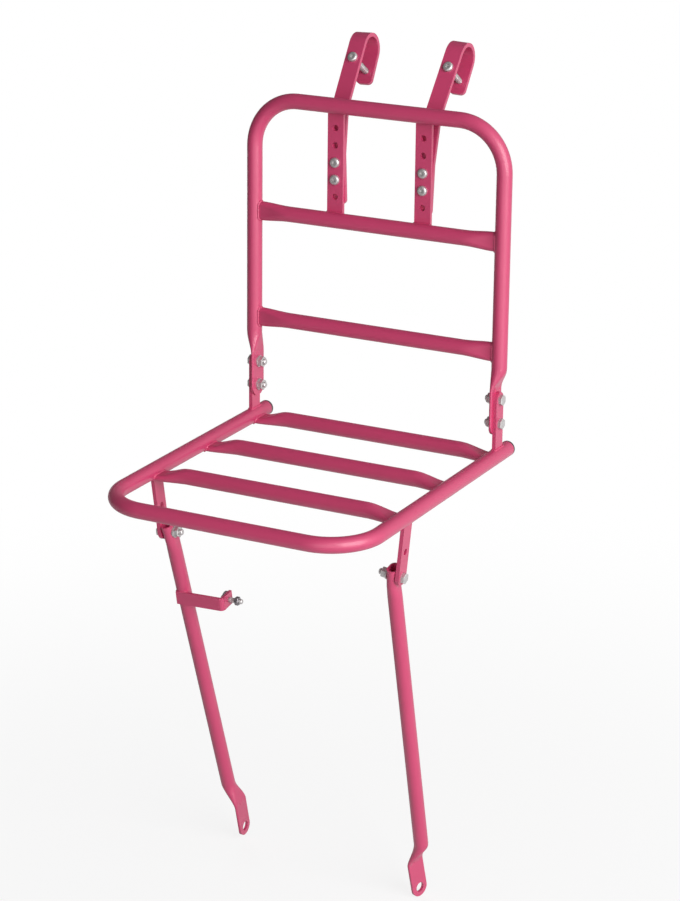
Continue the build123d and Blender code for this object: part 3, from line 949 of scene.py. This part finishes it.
def pale_floor(shade):
    """A pale floor that keeps a soft shadow and fades to white away from the carrier."""
    material, tree, place = surface("pale_floor")
    away = tree.add(
        "ShaderNodeVectorMath",
        settings={"operation": "LENGTH"},
        inputs={0: place},
        output="Value",
    )
    white = ramp(tree, away, *FLOOR_FADE, start=FLOOR_WHITE)
    bright_side = ramp(tree, split_x(tree, place), *FLOOR_SIDE, start=DARK_SIDE)
    speckle = noise(tree, place, SPECKLE_SIZE)
    pale = mix_colour(tree, speckle, colour(shade), colour(scaled(shade, SPECKLE_SHADE)))
    bounce = tree.add("ShaderNodeLightPath", output="Is Diffuse Ray")
    cast = mix_colour(tree, bounce, pale, colour(scaled(shade, BOUNCE_SHADE)))
    paper = tree.add("ShaderNodeBsdfDiffuse", inputs={"Color": cast})
    glow = tree.add("ShaderNodeEmission", inputs={"Color": WHITE, "Strength": 1.0})
    share = white * shown_white(tree, bright_side)
    mixed = tree.add("ShaderNodeMixShader", inputs={0: share, 1: paper, 2: glow})
    tree.add("ShaderNodeOutputMaterial", inputs={"Surface": mixed})
    return material


def light_world(ambient):
    """A world that is white to look at, and in reflections brighter on the right."""
    world = bpy.data.worlds.new("white_studio")
    world.use_nodes = True
    tree = Tree(world.node_tree)
    direction = tree.add("ShaderNodeTexCoord", output="Generated")
    bright_side = ramp(tree, split_x(tree, direction), *WORLD_SIDE, start=DARK_SIDE)
    strength = ambient + (1 - ambient) * shown_white(tree, bright_side)
    shell = tree.add("ShaderNodeBackground", inputs={"Color": WHITE, "Strength": strength})
    tree.add("ShaderNodeOutputWorld", inputs={"Surface": shell})
    bpy.context.scene.world = world


def lamp(name, place, aim, size, power, glossy=True):
    """A square soft lamp, which may stay out of reflections."""
    light = bpy.data.lights.new(name, "AREA")
    light.shape = "SQUARE"
    light.size = size
    light.energy = power
    holder = bpy.data.objects.new(name, light)
    bpy.context.scene.collection.objects.link(holder)
    holder.visible_camera = False
    holder.visible_glossy = glossy
    holder.location = place
    holder.rotation_euler = (Vector(aim) - Vector(place)).to_track_quat("-Z", "Y").to_euler()


class CARRIER_OT_set_studio(bpy.types.Operator):
    """Makes the floor, the lamps and the camera"""

    bl_idname = "carrier.set_studio"
    bl_label = "Set the Studio"

    def execute(self, context):
        studio = context.scene.carrier.studio
        context.scene.view_settings.view_transform = "Standard"
        self.make_floor(studio)
        light_world(studio.ambient)
        aim = (CAD_LOW + CAD_HIGH) / 2
        lamp("key_lamp", aim + KEY_PLACE, aim, KEY_WIDTH, studio.key_power)
        lamp("front_lamp", aim + FRONT_PLACE, aim, FRONT_WIDTH, studio.front_power)
        lamp("back_lamp", aim + BACK_PLACE, aim, BACK_WIDTH, studio.back_power, glossy=False)
        self.make_camera(context, studio)
        return {"FINISHED"}

    def make_floor(self, studio):
        mesh = bpy.data.meshes.new("floor")
        corners = [
            (x * FLOOR_REACH, y * FLOOR_REACH, CAD_LOW.z)
            for x, y in ((-1, -1), (1, -1), (1, 1), (-1, 1))
        ]
        mesh.from_pydata(corners, [], [(0, 1, 2, 3)])
        mesh.materials.append(pale_floor(studio.floor))
        floor = bpy.data.objects.new("floor", mesh)
        bpy.context.scene.collection.objects.link(floor)

    def make_camera(self, context, studio):
        azimuth, elevation, roll = studio.azimuth, studio.elevation, studio.roll
        level = cos(elevation)
        back = Vector((sin(azimuth) * level, -cos(azimuth) * level, sin(elevation)))
        right = Vector((cos(azimuth), sin(azimuth), 0))
        up = back.cross(right)
        rolled_right = right * cos(roll) + up * sin(roll)
        rolled_up = up * cos(roll) - right * sin(roll)
        data = bpy.data.cameras.new("photo_camera")
        data.lens = studio.lens
        camera = bpy.data.objects.new("photo_camera", data)
        context.scene.collection.objects.link(camera)
        turn = Matrix((rolled_right, rolled_up, back)).transposed().to_4x4()
        place = Vector(studio.target) + back * studio.distance
        camera.matrix_world = Matrix.Translation(place) @ turn
        data.clip_end = VIEW_REACH
        context.scene.camera = camera


class CARRIER_PT_sidebar(bpy.types.Panel):
    """Lists the carrier's steps"""

    bl_label = "Bicycle Front Carrier"
    bl_idname = "CARRIER_PT_sidebar"
    bl_space_type = "VIEW_3D"
    bl_region_type = "UI"
    bl_category = "Carrier"

    def draw(self, context):
        for step in STEPS:
            self.layout.operator(step.bl_idname)


STEPS = (
    CARRIER_OT_paint_frame,
    CARRIER_OT_plate_fasteners,
    CARRIER_OT_mould_plugs,
    CARRIER_OT_lay_welds,
    CARRIER_OT_cut_threads,
    CARRIER_OT_set_studio,
)
CLASSES = (
    FinishSettings,
    WeldSettings,
    ThreadSettings,
    StudioSettings,
    CarrierSettings,
    *STEPS,
    CARRIER_PT_sidebar,
)


def register():
    for cls in CLASSES:
        bpy.utils.register_class(cls)
    bpy.types.Scene.carrier = PointerProperty(type=CarrierSettings)


def unregister():
    del bpy.types.Scene.carrier
    for cls in reversed(CLASSES):
        bpy.utils.unregister_class(cls)


def main():
    register()
    bpy.ops.carrier.paint_frame()
    bpy.ops.carrier.plate_fasteners()
    bpy.ops.carrier.mould_plugs()
    bpy.ops.carrier.lay_welds()
    bpy.ops.carrier.cut_threads()
    bpy.ops.carrier.set_studio()


if __name__ == "__main__":
    main()
